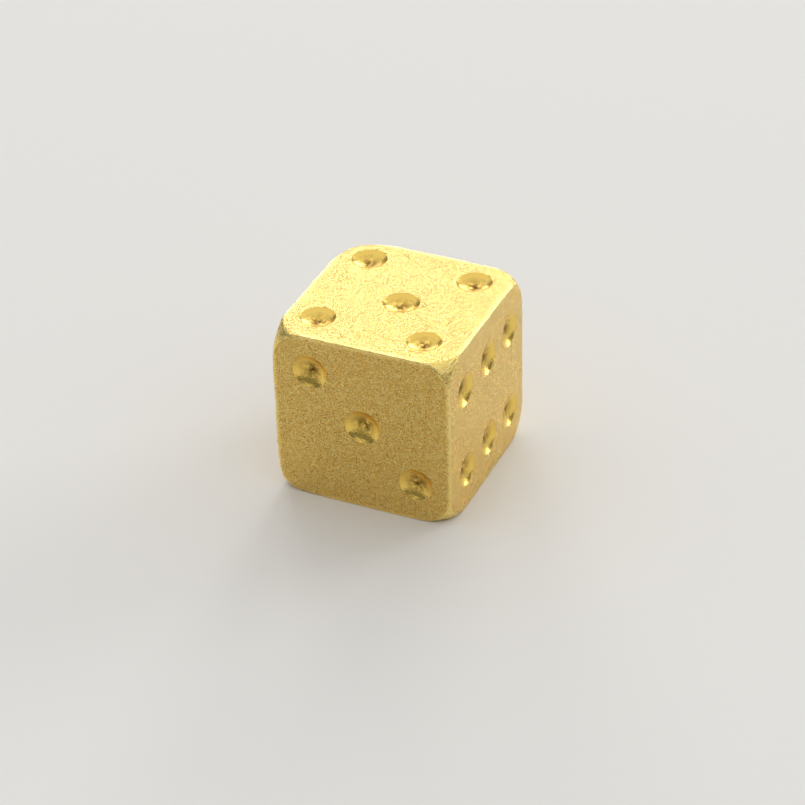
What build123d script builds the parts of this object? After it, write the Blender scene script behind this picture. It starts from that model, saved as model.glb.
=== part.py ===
from build123d import *
import os
from math import sqrt

# A small solid metal die: a cube with its eight corners rounded off and a dished hollow for each pip.
# Millimetres, +Z up. The origin is the middle of the face that the die stands on.
# Opposite faces add up to seven: five on +Z, two on -Z, three on -Y, four on +Y, six on +X, one on -X.

os.makedirs("parts", exist_ok=True)

# Cube
side = 5.0  # across any two opposite faces

# Corners: each is rounded by a ball that cuts off the ends of the three edges that meet there
corner_reach = 0.75  # along an edge, from where its end would be sharp to where the rounding begins
corner_lead = 0.15  # further along the edge, from there until level with the centre of the ball

# Pips: every one is a dish, sunk by a ball-ended cutter until it leaves a circle of this diameter
pip_diameter = 0.97
pip_ball_radius = 0.78

# From an edge of the face to the centres of the pips next to it
inset_two_and_three = 1.07
inset_four_and_five = 0.96
inset_six_along_row = 1.02  # from the edges at the ends of the two rows of three
inset_six_outside_row = 1.23  # from the edges that the rows run along

# Worked out from the sizes above
half = side / 2
corner_ball_inset = corner_reach + corner_lead  # of the ball's centre, from all three faces
corner_ball_radius = sqrt(corner_ball_inset**2 + corner_ball_inset**2 + corner_lead**2)
waste_size = 1.5 * corner_ball_inset  # of the block of waste at a corner, so that it stands clear of the faces
pip_ball_height = sqrt(pip_ball_radius**2 - (pip_diameter / 2) ** 2)  # of the cutter's centre, above the face


def by_every_corner(reach):
    """Eight places, one by each corner, this far from the middle of the cube along all three axes."""
    ends = (-reach, reach)
    return [(x, y, half + z) for x in ends for y in ends for z in ends]


def middle():
    """One pip, in the middle of a face."""
    return [(0, 0)]


def diagonal(inset):
    """Two pips in opposite corners of a face, upper left and lower right."""
    reach = half - inset
    return [(-reach, reach), (reach, -reach)]


def square(inset):
    """Four pips, one in each corner of a face."""
    reach = half - inset
    return [(across, up) for across in (-reach, reach) for up in (-reach, reach)]


def two_rows(along_inset, outside_inset):
    """Six pips, in two rows of three that run across the face."""
    along = half - along_inset
    outside = half - outside_inset
    return [(across, up) for up in (-outside, outside) for across in (-along, 0, along)]


# Each face as seen from outside, with the four upright faces the same way up as the die
top_face = Plane(origin=(0, 0, side), x_dir=(1, 0, 0), z_dir=(0, 0, 1))
bottom_face = Plane(origin=(0, 0, 0), x_dir=(1, 0, 0), z_dir=(0, 0, -1))
front_face = Plane(origin=(0, -half, half), x_dir=(1, 0, 0), z_dir=(0, -1, 0))
back_face = Plane(origin=(0, half, half), x_dir=(-1, 0, 0), z_dir=(0, 1, 0))
right_face = Plane(origin=(half, 0, half), x_dir=(0, 1, 0), z_dir=(1, 0, 0))
left_face = Plane(origin=(-half, 0, half), x_dir=(0, -1, 0), z_dir=(-1, 0, 0))

pips = [
    (left_face, middle()),
    (bottom_face, diagonal(inset_two_and_three)),
    (front_face, middle() + diagonal(inset_two_and_three)),
    (back_face, square(inset_four_and_five)),
    (top_face, middle() + square(inset_four_and_five)),
    (right_face, two_rows(inset_six_along_row, inset_six_outside_row)),
]

# Corner waste: what the rounding takes away, a block at each corner less the ball that the corner is rounded to
with BuildPart() as corner_waste:
    with Locations(*by_every_corner(half - corner_ball_inset + waste_size / 2)):
        Box(waste_size, waste_size, waste_size)
    with Locations(*by_every_corner(half - corner_ball_inset)):
        Sphere(corner_ball_radius, mode=Mode.SUBTRACT)

# Die body: the cube, less the waste at its corners and its 21 pips
with BuildPart() as die_body:
    with Locations((0, 0, half)):
        Box(side, side, side)
    add(corner_waste.part, mode=Mode.SUBTRACT)
    for face, centres in pips:
        with Locations(face):
            with Locations(*[(across, up, pip_ball_height) for across, up in centres]):
                Sphere(pip_ball_radius, mode=Mode.SUBTRACT)
die_body.part.label = "die_body"
export_step(die_body.part, "parts/die_body.step")
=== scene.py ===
import math

import bpy
import numpy as np
from mathutils import Matrix, Vector, noise
from mathutils.geometry import delaunay_2d_cdt


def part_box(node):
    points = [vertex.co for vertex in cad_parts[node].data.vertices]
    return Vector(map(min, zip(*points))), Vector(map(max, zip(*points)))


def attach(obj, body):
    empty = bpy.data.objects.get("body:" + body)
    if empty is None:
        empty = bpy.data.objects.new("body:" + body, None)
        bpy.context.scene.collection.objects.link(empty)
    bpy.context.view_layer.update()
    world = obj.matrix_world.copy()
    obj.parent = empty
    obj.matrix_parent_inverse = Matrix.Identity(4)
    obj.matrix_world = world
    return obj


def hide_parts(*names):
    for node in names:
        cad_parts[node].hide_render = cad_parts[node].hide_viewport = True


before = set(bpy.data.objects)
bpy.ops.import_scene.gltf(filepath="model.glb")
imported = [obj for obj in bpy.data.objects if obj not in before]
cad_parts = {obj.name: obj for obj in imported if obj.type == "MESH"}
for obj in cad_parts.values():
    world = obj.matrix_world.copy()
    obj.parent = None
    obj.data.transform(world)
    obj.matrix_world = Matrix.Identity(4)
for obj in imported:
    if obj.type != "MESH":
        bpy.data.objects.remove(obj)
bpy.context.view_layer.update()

# A small metal die of gold-plated brass: milled and blasted to a fine grain, with bright-cut pips.
# Blender works in metres. The die is so small that its shape is worked out in millimetres from its middle.

MM = 0.001
rng = np.random.default_rng(21)

die_low, die_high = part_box("die_body")
SIDE = (die_high[0] - die_low[0]) / MM
HALF = SIDE / 2
MIDDLE = (Vector(die_low) + Vector(die_high)) / 2

# ---------------------------------------------------------------- the die's own sizes, in millimetres

CORNER_LEAD = 0.15  # along an edge, from where the rounding begins until level with the rounding's centre

# How far the rounding of each corner reaches along its edges. It was done by eye, so it varies.
CORNER_REACH = {
    (-1, -1, 1): 0.84,
    (1, -1, 1): 0.82,
    (-1, 1, 1): 0.72,
    (1, 1, 1): 0.74,
    (-1, -1, -1): 0.64,
    (1, -1, -1): 0.84,
    (-1, 1, -1): 0.72,
    (1, 1, -1): 0.76,
}

# How softly each corner runs into its faces. One was rubbed for longer than the rest.
CORNER_SOFTNESS = {
    (-1, -1, 1): 0.05,
    (1, -1, 1): 0.03,
    (-1, 1, 1): 0.30,
    (1, 1, 1): 0.10,
    (-1, -1, -1): 0.12,
    (1, -1, -1): 0.08,
    (-1, 1, -1): 0.10,
    (1, 1, -1): 0.06,
}

PIP_RADIUS = 0.485
PIP_BALL = 0.78  # radius of the ball-ended cutter
RIM_SOFTNESS = 0.012  # how far the rim is rounded over
RIM_LIP = 0.007  # metal pushed up round a pip by the cutter, less in some places and more in others
LIP_OUT = 0.022  # from the rim of the pip out to the top of the lip
LIP_WIDTH = 0.020

INSET_TWO_AND_THREE = 1.07
INSET_FOUR_AND_FIVE = 0.96
INSET_SIX_ALONG_ROW = 1.02
INSET_SIX_OUTSIDE_ROW = 1.23

EDGE_RADIUS = 0.022
LEAST_EDGE_RADIUS = 0.010
EDGE_WORN_BACK = 0.010
WEAR_WIDTH = 0.075  # how far the wear of the edges reaches over the faces
BURR_HEIGHT = 0.028
BURR_WIDTH = 0.028
CORNER_WEAR_REACH = 0.8  # how far a softly rounded corner softens the edges that meet there

# Each face: the way it points, the way to its right and the way up it, as seen from outside
FACES = {
    "five": ((0, 0, 1), (1, 0, 0), (0, 1, 0)),
    "two": ((0, 0, -1), (1, 0, 0), (0, -1, 0)),
    "three": ((0, -1, 0), (1, 0, 0), (0, 0, 1)),
    "four": ((0, 1, 0), (-1, 0, 0), (0, 0, 1)),
    "six": ((1, 0, 0), (0, 1, 0), (0, 0, 1)),
    "one": ((-1, 0, 0), (0, -1, 0), (0, 0, 1)),
}


def pip_centres(face):
    """Where the pips of a face would be if they were marked out exactly."""
    two = HALF - INSET_TWO_AND_THREE
    four = HALF - INSET_FOUR_AND_FIVE
    along = HALF - INSET_SIX_ALONG_ROW
    outside = HALF - INSET_SIX_OUTSIDE_ROW
    middle = [(0, 0)]
    diagonal = [(-two, two), (two, -two)]
    square = [(x, y) for x in (-four, four) for y in (-four, four)]
    rows = [(x, y) for y in (-outside, outside) for x in (-along, 0, along)]
    return {
        "one": middle,
        "two": diagonal,
        "three": middle + diagonal,
        "four": square,
        "five": middle + square,
        "six": rows,
    }[face]


# The pips were marked by eye, so each sits a little off its place: to the right and up, as seen from outside
PIP_DRIFT = {
    "one": [(0.04, -0.03)],
    "two": [(-0.03, 0.05), (0.06, -0.02)],
    "three": [(0.02, 0.06), (0.00, 0.00), (0.08, 0.06)],
    "four": [(0.03, -0.05), (-0.06, 0.02), (0.02, 0.04), (-0.04, -0.03)],
    "five": [(0.12, -0.07), (-0.08, 0.03), (-0.03, 0.09), (-0.13, -0.02), (-0.04, 0.03)],
    "six": [(0.08, -0.06), (0.10, -0.03), (0.09, -0.07), (0.04, -0.06), (0.08, -0.02), (0.06, -0.02)],
}


def pips(face):
    """Centre and radius of each pip of a face, as it was really cut."""
    cut = []
    for (x, y), (right, up) in zip(pip_centres(face), PIP_DRIFT[face]):
        cut.append((x + right, y + up, PIP_RADIUS * rng.uniform(0.96, 1.03)))
    return cut


# ---------------------------------------------------------------- the mesh: where its points lie on each face

# Gaps between points that lie side by side
FACE_GAP = 0.055
EDGE_GAP = 0.042
PIP_GAP = 0.042
RIM_GAP = 0.036

# Rows of points, closest together where the skin turns sharply
EDGE_ROWS = (0.0, 0.009, 0.019, 0.031, 0.047, 0.075)  # in from the edge of the face
ARC_ROWS = (-0.065, -0.04, -0.022, -0.008, 0.004, 0.016, 0.032, 0.055, 0.085)  # out from a corner's arc
RIM_ROWS = (-0.045, -0.03, -0.018, -0.008, 0.001, 0.010, 0.020, 0.033, 0.052, 0.08)  # out from a pip's rim
CORNER_START = 0.12  # the first plain row over a rounded corner, out from its arc
INNER_RING = 0.04  # the smallest ring of points in a pip
RING_STEP = 0.038
RING_MARGIN = 0.03  # from the last plain ring of a pip to the first row of its rim

# No point is kept closer than this to one that was placed before it
EDGE_CLEAR = 0.006
ARC_CLEAR = 0.010
FACE_CLEAR = 0.72 * FACE_GAP

MAX_PULL = 0.15  # the most that an edge or corner is drawn in towards the middle, as a share
HALVINGS = 36  # of the stretch in which the skin is looked for


def spread(start, end, gap):
    """Evenly spaced values from start to end, about gap apart."""
    return np.linspace(start, end, max(2, round(abs(end - start) / gap) + 1))


def edge_points():
    """Rows of points along the four edges of a face, closest together at the edge itself."""
    found = []
    for row in EDGE_ROWS:
        reach = HALF - row
        for t in spread(-reach, reach, EDGE_GAP):
            found += [(t, reach), (t, -reach), (reach, t), (-reach, t)]
    return found


def arc_points(face):
    """Rows of points along the arcs where the face meets its rounded corners, and over those corners."""
    out, right, up = FACES[face]
    found = []
    for x, y in ((-1, -1), (-1, 1), (1, -1), (1, 1)):
        corner = tuple(a + x * b + y * c for a, b, c in zip(out, right, up))
        inset = CORNER_REACH[corner] + CORNER_LEAD
        face_circle = math.hypot(inset, CORNER_LEAD)
        for row in (*ARC_ROWS, *spread(CORNER_START, inset * math.sqrt(2) - face_circle, EDGE_GAP)):
            circle = face_circle + row
            for angle in spread(0, math.pi / 2, EDGE_GAP / circle):
                across, along = circle * math.cos(angle), circle * math.sin(angle)
                if max(across, along) < inset - EDGE_ROWS[-1] / 2:
                    found.append((x * (HALF - inset + across), y * (HALF - inset + along)))
    return found


def ring_points(centre_x, centre_y, radius):
    """Rings of points round and inside a pip, closest together at its rim."""
    found = [(centre_x, centre_y)]
    last_ring = radius + RIM_ROWS[0] - RING_MARGIN
    inner = [(ring, round(math.tau * ring / PIP_GAP)) for ring in spread(INNER_RING, last_ring, RING_STEP)]
    rim = [(radius + row, round(math.tau * radius / RIM_GAP)) for row in RIM_ROWS]
    for row, (ring, count) in enumerate(inner + rim):
        for step in range(count):
            angle = math.tau * (step + row % 2 / 2) / count
            found.append((centre_x + ring * math.cos(angle), centre_y + ring * math.sin(angle)))
    return found


def fill_points():
    """A slightly uneven honeycomb of points over the whole face."""
    found = []
    for row, y in enumerate(spread(-HALF, HALF, FACE_GAP * math.sqrt(3) / 2)):
        for x in spread(-HALF, HALF, FACE_GAP):
            found.append((x + (row % 2) * FACE_GAP / 2, y))
    uneven = rng.normal(0, FACE_GAP / 9, (len(found), 2))
    return [(x + dx, y + dy) for (x, y), (dx, dy) in zip(found, uneven)]


def keep_apart(groups):
    """The points of every group that lie no closer than its own gap to a point kept before."""
    cell = FACE_GAP
    kept, cells = [], {}
    for points, gap in groups:
        for x, y in points:
            if max(abs(x), abs(y)) > HALF + 1e-9:
                continue
            column, row = math.floor(x / cell), math.floor(y / cell)
            near = (
                kept[i]
                for c in (column - 1, column, column + 1)
                for r in (row - 1, row, row + 1)
                for i in cells.get((c, r), ())
            )
            if all((x - a) ** 2 + (y - b) ** 2 >= gap**2 for a, b in near):
                cells.setdefault((column, row), []).append(len(kept))
                kept.append((x, y))
    return kept


def laid_out(face, face_pips):
    """The points of one face and the triangles between them."""
    groups = [(edge_points(), EDGE_CLEAR), (arc_points(face), ARC_CLEAR)]
    groups += [(ring_points(*pip), 0.0) for pip in face_pips]
    groups.append((fill_points(), FACE_CLEAR))
    points = [Vector(p) for p in keep_apart(groups)]
    places, _, triangles, *_ = delaunay_2d_cdt(points, [], [], 0, 1e-7)
    return np.array([tuple(p) for p in places]), np.array([list(t) for t in triangles])


# ---------------------------------------------------------------- the shape: rounding, wear, burrs and pips

FACE_FINISH, PIP_FINISH, CORNER_FINISH = 0, 1, 2  # places of the three finishes in the die's list

CORNER_BLEND = 0.6  # one corner's value runs into the next within this share of the way from the middle
PIP_ZONE = 1.6  # how far a pip and its lip reach, in radii of the pip
NO_PIP = 2.0  # the distance to the nearest pip, in its radii, where none is near


def waves(points, size, strength):
    """Smooth random height at each point, size millimetres from hill to hill."""
    return strength * np.array([noise.noise(Vector(p)) for p in points / size])


def from_corners(points, by_corner):
    """A value that is given for each of the eight corners, running smoothly from one corner to the next."""
    share = 0.5 + 0.5 * np.clip(points / (CORNER_BLEND * HALF), -1, 1)
    value = np.zeros(len(points))
    for corner, amount in by_corner.items():
        value += amount * np.where(np.array(corner) > 0, share, 1 - share).prod(1)
    return value


def body_height(points, edge_radius, inset):
    """Roughly how far each point is outside the rounded cube, in millimetres: negative inside."""
    to_faces = np.abs(points) - HALF
    to_corner = np.linalg.norm(np.maximum(to_faces + inset[:, None], 0), axis=1)
    to_corner -= np.sqrt(2 * inset**2 + CORNER_LEAD**2)
    past = np.column_stack((to_faces, to_corner)) + edge_radius[:, None]
    return np.linalg.norm(np.maximum(past, 0), axis=1) + np.minimum(past.max(1), 0) - edge_radius


def drawn_in(points, edge_radius, inset):
    """Points of the sharp cube, pulled straight towards its middle until they lie on the rounded cube."""
    near, far = np.full(len(points), 1 - MAX_PULL), np.ones(len(points))
    for _ in range(HALVINGS):
        half_way = (near + far) / 2
        outside = body_height(points * half_way[:, None], edge_radius, inset) > 0
        far = np.where(outside, half_way, far)
        near = np.where(outside, near, half_way)
    return points * far[:, None]


def outward(points, edge_radius, inset):
    """The way that the rounded cube faces at each point."""
    step = 1e-4
    slope = np.empty_like(points)
    for axis in range(3):
        shift = np.zeros(3)
        shift[axis] = step
        slope[:, axis] = body_height(points + shift, edge_radius, inset)
        slope[:, axis] -= body_height(points - shift, edge_radius, inset)
    return slope / np.linalg.norm(slope, axis=1)[:, None]


def dish(distance, radius):
    """Height of the face at a distance from the centre of a ball-cut pip, with the pip's rim rounded over."""
    ball_centre = math.sqrt(PIP_BALL**2 - radius**2)
    cut = ball_centre - np.sqrt(np.maximum(PIP_BALL**2 - distance**2, 0))
    blend = np.clip(0.5 - cut / (2 * RIM_SOFTNESS), 0, 1)
    return blend * cut - RIM_SOFTNESS * blend * (1 - blend)


def lip(distance, radius, places):
    """Height of the ragged lip round a pip."""
    ragged = np.clip(0.7 + waves(places, 0.09, 1.3), 0.1, 1.6)
    return RIM_LIP * ragged * np.exp(-(((distance - radius - LIP_OUT) / LIP_WIDTH) ** 2))


def from_edge(points):
    """How far each point of the sharp cube is from the nearest edge, along its face."""
    return HALF - np.sort(np.abs(points), axis=1)[:, 1]


def on_corner_ball(points, inset):
    """One for each point of the sharp cube that lies over a rounded corner, nothing for the others."""
    past = np.maximum(np.abs(points) - HALF + inset[:, None], 0)
    return (np.linalg.norm(past, axis=1) > np.sqrt(2 * inset**2 + CORNER_LEAD**2)).astype(float)


def sharp_cube():
    """The sharp cube as one closed mesh: its points and triangles, and how deep and how near the pips are."""
    places, triangles, relief, reach, start = [], [], [], [], 0
    for name, (out, right, up) in FACES.items():
        face_pips = pips(name)
        flat, corners = laid_out(name, face_pips)
        place = HALF * np.array(out) + flat[:, :1] * np.array(right) + flat[:, 1:] * np.array(up)
        height, nearest = np.zeros(len(flat)), np.full(len(flat), NO_PIP)
        for x, y, radius in face_pips:
            distance = np.hypot(flat[:, 0] - x, flat[:, 1] - y)
            raised = dish(distance, radius) + lip(distance, radius, place)
            height += np.where(distance < PIP_ZONE * radius, raised, 0)
            nearest = np.minimum(nearest, distance / radius)
        places.append(place)
        triangles.append(corners + start)
        relief.append(height)
        reach.append(nearest)
        start += len(flat)
    places, triangles = np.concatenate(places), np.concatenate(triangles)

    # The faces share the points along their edges.
    _, first, shared = np.unique(np.round(places, 5), axis=0, return_index=True, return_inverse=True)
    triangles = shared.reshape(-1)[triangles]
    a, b, c = triangles.T
    whole = (a != b) & (b != c) & (a != c)
    return places[first], triangles[whole], np.concatenate(relief)[first], np.concatenate(reach)[first]


def edge_rounding(places):
    """Radius of the nearest edge at each point: nibbled here and there, and softer beside a rubbed corner."""
    from_corner = np.linalg.norm(np.abs(places) - HALF, axis=1)
    softness = from_corners(places, CORNER_SOFTNESS) * np.exp(-((from_corner / CORNER_WEAR_REACH) ** 2))
    nibbled = waves(places, 0.9, 0.015) + waves(places, 0.16, 0.042)
    return np.clip(EDGE_RADIUS + nibbled, LEAST_EDGE_RADIUS, None) + softness


def unevenness(skin, edge, reach):
    """What milling and handling left: slow waves, ripples between the pips, worn edges and burrs."""
    away_from_pips = 1 - np.clip(PIP_ZONE - reach, 0, 1)
    height = waves(skin, 1.3, 0.005) + waves(skin, 0.38, 0.0026)
    height += waves(skin, 0.09, 0.0022) * away_from_pips

    # Shifted, so that wear and burrs don't follow the hills of the waves
    worn = np.clip(0.5 + waves(skin + 7, 1.1, 1.0), 0, 1)
    height -= EDGE_WORN_BACK * np.exp(-edge / WEAR_WIDTH) * worn
    ragged = np.clip(waves(skin + 3, 0.55, 1.0) + waves(skin, 0.10, 0.7) - 0.05, 0, 1)
    return height + BURR_HEIGHT * np.exp(-((edge / BURR_WIDTH) ** 2)) * ragged


def build_die():
    """The skin of the die, with what its finishes need to know at each point."""
    places, triangles, relief, reach = sharp_cube()
    edge = from_edge(places)
    inset = from_corners(places, CORNER_REACH) + CORNER_LEAD
    edge_radius = edge_rounding(places)
    skin = drawn_in(places, edge_radius, inset)
    relief += unevenness(skin, edge, reach)
    skin += outward(skin, edge_radius, inset) * relief[:, None]

    mesh = bpy.data.meshes.new("gold_die")
    mesh.from_pydata((skin * MM + np.array(MIDDLE)).tolist(), [], triangles.tolist())
    mesh.shade_smooth()
    for name, values in {"pip_reach": reach, "edge_distance": edge}.items():
        mesh.attributes.new(name, "FLOAT", "POINT").data.foreach_set("value", values.astype(np.float32))
    die = bpy.data.objects.new("gold_die", mesh)
    bpy.context.scene.collection.objects.link(die)

    on_corner = on_corner_ball(places, inset)[triangles].mean(1) > 0.5
    in_pip = reach[triangles].mean(1) < 1
    finish = np.where(in_pip, PIP_FINISH, np.where(on_corner, CORNER_FINISH, FACE_FINISH))
    mesh.polygons.foreach_set("material_index", finish.astype(np.int32))
    return die


# ---------------------------------------------------------------- finishes


def colour(hex_code):
    """An sRGB hex colour as the linear colour that a shader takes."""
    shares = [int(hex_code[i : i + 2], 16) / 255 for i in (1, 3, 5)]
    return (*(s / 12.92 if s <= 0.04045 else ((s + 0.055) / 1.055) ** 2.4 for s in shares), 1.0)


def add(tree, kind, inputs=None, **settings):
    """Adds a node with its settings, and sets or links its inputs."""
    made = tree.nodes.new(kind)
    for name, value in settings.items():
        setattr(made, name, value)
    for key, value in (inputs or {}).items():
        if isinstance(value, bpy.types.NodeSocket):
            tree.links.new(value, made.inputs[key])
        else:
            made.inputs[key].default_value = value
    return made


def new_finish(name):
    """An empty material, its place on the die in millimetres, and its shader."""
    material = bpy.data.materials.new(name)
    material.use_nodes = True
    tree = material.node_tree
    tree.nodes.clear()
    place = add(tree, "ShaderNodeTexCoord").outputs["Object"]
    scaled = add(tree, "ShaderNodeVectorMath", {0: place, "Scale": 1 / MM}, operation="SCALE")
    shader = add(tree, "ShaderNodeBsdfPrincipled", {"Metallic": 1.0})
    add(tree, "ShaderNodeOutputMaterial", {"Surface": shader.outputs["BSDF"]})
    return material, tree, scaled.outputs["Vector"], shader


# Sockets of the node that mixes colours: several share a name, so they are picked by number
SHARE, FROM, TO, MIXED = 0, 6, 7, 2

GOLD = colour("#F6D26C")
# Painted shade for the dents of the grain
GOLD_DENT_SHADE = colour("#DDA63C")
GOLD_PALE = colour("#FDE796")
# Painted shade for the pores
PORE_SHADE = colour("#8A6420")
# Darker brown, in patches towards the bottom of each pip
PIP_BOTTOM_BROWN = colour("#6B4A18")


def blasted_gold():
    """Gold-plated brass, milled flat and grit-blasted: a sandy grain that scatters light and glints."""
    material, tree, in_mm, shader = new_finish("blasted_gold")
    grit = 0.036  # millimetres from one dent to the next: real grit leaves them closer, too fine to show
    pore_gap = grit / 0.8
    pore_share = 0.28  # of the hollows between the grains, those that are deeper pores
    patch = 0.8  # millimetres across a patch that was blasted a little more or less
    edge = add(tree, "ShaderNodeAttribute", attribute_name="edge_distance").outputs["Fac"]
    dents = add(tree, "ShaderNodeTexNoise",
                {"Vector": in_mm, "Scale": 1 / grit, "Detail": 2.5, "Roughness": 0.6})
    hollows = add(tree, "ShaderNodeTexVoronoi", {"Vector": in_mm, "Scale": 1 / pore_gap})
    patches = add(tree, "ShaderNodeTexNoise", {"Vector": in_mm, "Scale": 1 / patch, "Detail": 3.0})

    # Dents with a few deeper pores, rubbed down close to the edges
    chance = add(tree, "ShaderNodeSeparateColor", {"Color": hollows.outputs["Color"]}).outputs[0]
    picked = add(tree, "ShaderNodeMath", {0: chance, 1: 1 - pore_share}, operation="GREATER_THAN")
    round_pore = add(tree, "ShaderNodeMapRange",
                     {"Value": hollows.outputs["Distance"], "From Min": 0.22, "From Max": 0.42,
                      "To Min": 1.0, "To Max": 0.0})
    pore = add(tree, "ShaderNodeMath", {0: round_pore.outputs[0], 1: picked.outputs[0]}, operation="MULTIPLY")
    height = add(tree, "ShaderNodeMath",
                 {0: hollows.outputs["Distance"], 1: 0.5, 2: dents.outputs["Fac"]}, operation="MULTIPLY_ADD")
    pitted = add(tree, "ShaderNodeMath",
                 {0: pore.outputs[0], 1: -0.35, 2: height.outputs[0]}, operation="MULTIPLY_ADD")
    rubbed = add(tree, "ShaderNodeMapRange",
                 {"Value": edge, "From Min": 0.03, "From Max": 0.16, "To Min": 0.35, "To Max": 1.0})
    bump = add(tree, "ShaderNodeBump",
               {"Strength": rubbed.outputs[0], "Distance": 0.040 * MM, "Height": pitted.outputs[0]})

    # Painted shade: deeper gold in the dents. Painted highlight: paler on the tops of the grain, and paler
    # along the rubbed edges
    grain = add(tree, "ShaderNodeMapRange",
                {"Value": dents.outputs["Fac"], "From Min": 0.38, "From Max": 0.62})
    base = add(tree, "ShaderNodeMix",
               {SHARE: grain.outputs[0], FROM: GOLD_DENT_SHADE, TO: GOLD_PALE}, data_type="RGBA")
    evened = add(tree, "ShaderNodeMix", {SHARE: 0.2, FROM: base.outputs[MIXED], TO: GOLD}, data_type="RGBA")
    # Painted shade: the pores are darkened where they sink in
    pore_shade_share = add(tree, "ShaderNodeMath", {0: pore.outputs[0], 1: 0.7}, operation="MULTIPLY")
    with_pore_shade = add(tree, "ShaderNodeMix",
                     {SHARE: pore_shade_share.outputs[0], FROM: evened.outputs[MIXED], TO: PORE_SHADE}, data_type="RGBA")
    # The edges are rubbed smooth, and a highlight is painted along them as paler gold
    edge_highlight = add(tree, "ShaderNodeMapRange",
                {"Value": edge, "From Min": 0.02, "From Max": 0.12, "To Min": 0.6, "To Max": 0.0})
    rubbed_and_highlit = add(tree, "ShaderNodeMix",
                      {SHARE: edge_highlight.outputs[0], FROM: with_pore_shade.outputs[MIXED], TO: GOLD_PALE},
                      data_type="RGBA")
    rough = add(tree, "ShaderNodeMapRange",
                {"Value": patches.outputs["Fac"], "From Min": 0.3, "From Max": 0.7,
                 "To Min": 0.20, "To Max": 0.30})
    tree.links.new(rubbed_and_highlit.outputs[MIXED], shader.inputs["Base Color"])
    tree.links.new(rough.outputs[0], shader.inputs["Roughness"])
    tree.links.new(bump.outputs[0], shader.inputs["Normal"])
    return material


def bright_cut_gold():
    """The same metal, cut by a turning ball-ended cutter: smooth, with faint rings, and darker brown and
    rougher in patches towards the bottom.
    """
    material, tree, in_mm, shader = new_finish("bright_cut_gold")
    rings_in_pip = 7  # about 0.07 mm apart: a real cutter leaves them closer, too fine to show
    chatter_size = 0.05  # millimetres between the marks where the cutter shook
    dark_patch_size = 0.12  # millimetres across a darker patch
    reach = add(tree, "ShaderNodeAttribute", attribute_name="pip_reach").outputs["Fac"]
    turns = add(tree, "ShaderNodeMath", {0: reach, 1: math.tau * rings_in_pip}, operation="MULTIPLY")
    rings = add(tree, "ShaderNodeMath", {0: turns.outputs[0]}, operation="SINE")
    chatter = add(tree, "ShaderNodeTexNoise", {"Vector": in_mm, "Scale": 1 / chatter_size, "Detail": 2.0})
    height = add(tree, "ShaderNodeMath",
                 {0: rings.outputs[0], 1: 0.05, 2: chatter.outputs["Fac"]}, operation="MULTIPLY_ADD")
    bump = add(tree, "ShaderNodeBump", {"Strength": 1.0, "Distance": 0.006 * MM, "Height": height.outputs[0]})

    # Darker brown and rougher in patches towards the bottom of the pip
    low = add(tree, "ShaderNodeMapRange",
              {"Value": reach, "From Min": 0.10, "From Max": 0.80, "To Min": 1.0, "To Max": 0.0})
    dark_patch_noise = add(tree, "ShaderNodeTexNoise", {"Vector": in_mm, "Scale": 1 / dark_patch_size, "Detail": 3.0})
    patchy = add(tree, "ShaderNodeMapRange",
                 {"Value": dark_patch_noise.outputs["Fac"], "From Min": 0.30, "From Max": 0.55})
    darker_at_bottom = add(tree, "ShaderNodeMath", {0: low.outputs[0], 1: patchy.outputs[0]}, operation="MULTIPLY")
    base = add(tree, "ShaderNodeMix", {SHARE: darker_at_bottom.outputs[0], FROM: GOLD, TO: PIP_BOTTOM_BROWN}, data_type="RGBA")
    rough = add(tree, "ShaderNodeMapRange",
                {"Value": darker_at_bottom.outputs[0], "From Min": 0.0, "From Max": 0.7, "To Min": 0.20, "To Max": 0.45})
    tree.links.new(base.outputs[MIXED], shader.inputs["Base Color"])
    tree.links.new(rough.outputs[0], shader.inputs["Roughness"])
    tree.links.new(bump.outputs[0], shader.inputs["Normal"])
    return material


def filed_gold():
    """The same metal rounded off with a fine file: short parallel scratches that run across the corner."""
    material, tree, in_mm, shader = new_finish("filed_gold")
    scratch_gap = 0.045  # millimetres: a fine file cuts them closer, too fine to show
    drawn_out = (1.0, 0.12, 1.0)  # so that a scratch is about eight times as long as it is wide
    file_angle = (0.5, 0.9, 0.7)
    grain_size = 0.05  # millimetres, of the blasted grain that the file left
    turned = add(tree, "ShaderNodeMapping",
                 {"Vector": in_mm, "Rotation": file_angle, "Scale": drawn_out})
    strokes = add(tree, "ShaderNodeTexNoise",
                  {"Vector": turned.outputs[0], "Scale": 1 / scratch_gap, "Detail": 2.0})
    grain = add(tree, "ShaderNodeTexNoise", {"Vector": in_mm, "Scale": 1 / grain_size, "Detail": 1.0})
    height = add(tree, "ShaderNodeMath",
                 {0: grain.outputs["Fac"], 1: 0.4, 2: strokes.outputs["Fac"]}, operation="MULTIPLY_ADD")
    bump = add(tree, "ShaderNodeBump", {"Strength": 1.0, "Distance": 0.012 * MM, "Height": height.outputs[0]})
    tone = add(tree, "ShaderNodeMapRange",
               {"Value": strokes.outputs["Fac"], "From Min": 0.35, "From Max": 0.6})
    base = add(tree, "ShaderNodeMix",
               {SHARE: tone.outputs[0], FROM: GOLD, TO: GOLD_PALE}, data_type="RGBA")
    rough = add(tree, "ShaderNodeMapRange",
                {"Value": strokes.outputs["Fac"], "From Min": 0.3, "From Max": 0.7,
                 "To Min": 0.20, "To Max": 0.34})
    tree.links.new(base.outputs[MIXED], shader.inputs["Base Color"])
    tree.links.new(rough.outputs[0], shader.inputs["Roughness"])
    tree.links.new(bump.outputs[0], shader.inputs["Normal"])
    return material


die = build_die()
for finish in (blasted_gold(), bright_cut_gold(), filed_gold()):
    die.data.materials.append(finish)
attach(die, "root")
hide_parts("die_body")

# ---------------------------------------------------------------- the studio, in metres

SOFTBOX_DISTANCE = 0.60


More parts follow.
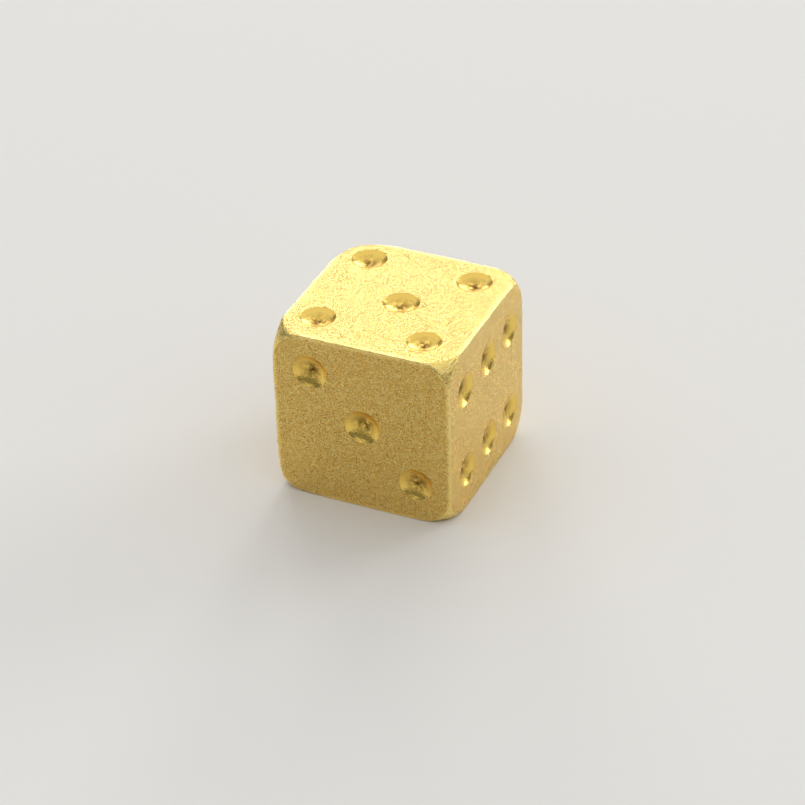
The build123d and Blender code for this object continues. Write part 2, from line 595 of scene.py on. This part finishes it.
def towards(azimuth, elevation):
    """The way out from the die: azimuth 0 is the side of the three, 90 the side of the six."""
    a, e = math.radians(azimuth), math.radians(elevation)
    return Vector((math.sin(a) * math.cos(e), -math.cos(a) * math.cos(e), math.sin(e)))


def make_floor():
    """A pale, matte table top, level with the face that the die stands on."""
    reach = 3.0
    corners = [(-reach, -reach, 0), (reach, -reach, 0), (reach, reach, 0), (-reach, reach, 0)]
    mesh = bpy.data.meshes.new("table_top")
    mesh.from_pydata(corners, [], [(0, 1, 2, 3)])
    floor = bpy.data.objects.new("table_top", mesh)
    bpy.context.scene.collection.objects.link(floor)
    material = bpy.data.materials.new("pale_card")
    material.use_nodes = True
    tree = material.node_tree
    shader = tree.nodes["Principled BSDF"]
    shader.inputs["Base Color"].default_value = colour("#E2E0DC")
    shader.inputs["Roughness"].default_value = 1.0
    shader.inputs["Specular IOR Level"].default_value = 0.1
    mesh.materials.append(material)


def add_softbox(name, azimuth, elevation, size, watts):
    """A soft square light, aimed at the die and not itself seen by the camera."""
    lamp = bpy.data.lights.new(name, "AREA")
    lamp.size, lamp.energy = size, watts
    softbox = bpy.data.objects.new(name, lamp)
    bpy.context.scene.collection.objects.link(softbox)
    softbox.location = MIDDLE + towards(azimuth, elevation) * SOFTBOX_DISTANCE
    softbox.rotation_mode = "QUATERNION"
    softbox.rotation_quaternion = towards(azimuth, elevation).to_track_quat("Z", "Y")
    softbox.visible_camera = False


def light_room():
    """A white tent over the die, bright above and darker low down. The camera sees pale card in its place."""
    world = bpy.data.worlds.new("studio")
    bpy.context.scene.world = world
    world.use_nodes = True
    tree = world.node_tree
    tree.nodes.clear()
    facing = add(tree, "ShaderNodeTexCoord").outputs["Generated"]
    lean = towards(160, 0) * 0.08  # the bright part comes a little lower behind the die than in front of it
    turned = add(tree, "ShaderNodeVectorMath", {0: facing, 1: (lean.x, lean.y, 1.0)}, operation="DOT_PRODUCT")
    glow = add(tree, "ShaderNodeMapRange",
               {"Value": turned.outputs["Value"], "From Min": 0.30, "From Max": 0.50,
                "To Min": 0.18, "To Max": 0.88},
               interpolation_type="SMOOTHSTEP")
    tent = add(tree, "ShaderNodeBackground", {"Color": colour("#FFFFFF"), "Strength": glow.outputs[0]})
    card = add(tree, "ShaderNodeBackground", {"Color": colour("#F1EFEB"), "Strength": 1.0})
    seen = add(tree, "ShaderNodeLightPath").outputs["Is Camera Ray"]
    both = add(tree, "ShaderNodeMixShader", {0: seen, 1: tent.outputs[0], 2: card.outputs[0]})
    add(tree, "ShaderNodeOutputWorld", {"Surface": both.outputs[0]})


def aim_camera():
    """A long lens that looks down at the die from the right of its front."""
    azimuth, elevation, roll = 24.9, 34.2, -1.7
    distance, lens = 71.8 * MM, 120.4
    right_of_aim, above_aim = 0.05 * MM, -0.60 * MM
    back = towards(azimuth, elevation)
    level = Vector((0, 0, 1)).cross(back).normalized()
    right = Matrix.Rotation(math.radians(roll), 3, back) @ level
    up = back.cross(right)
    camera = bpy.data.objects.new("camera", bpy.data.cameras.new("camera"))
    camera.data.lens = lens
    camera.data.clip_start, camera.data.clip_end = 1 * MM, 1.0
    place = MIDDLE + right * right_of_aim + up * above_aim + back * distance
    camera.matrix_world = Matrix.Translation(place) @ Matrix((right, up, back)).transposed().to_4x4()
    bpy.context.scene.collection.objects.link(camera)
    bpy.context.scene.camera = camera


make_floor()
add_softbox("back_softbox", azimuth=205, elevation=40, size=0.50, watts=0.45)
add_softbox("left_lamp", azimuth=214, elevation=11, size=0.17, watts=0.7)
add_softbox("right_lamp", azimuth=188, elevation=17, size=0.17, watts=0.7)
add_softbox("side_softbox", azimuth=145, elevation=13, size=0.28, watts=1.2)
light_room()
bpy.context.scene.view_settings.view_transform = "Standard"
aim_camera()
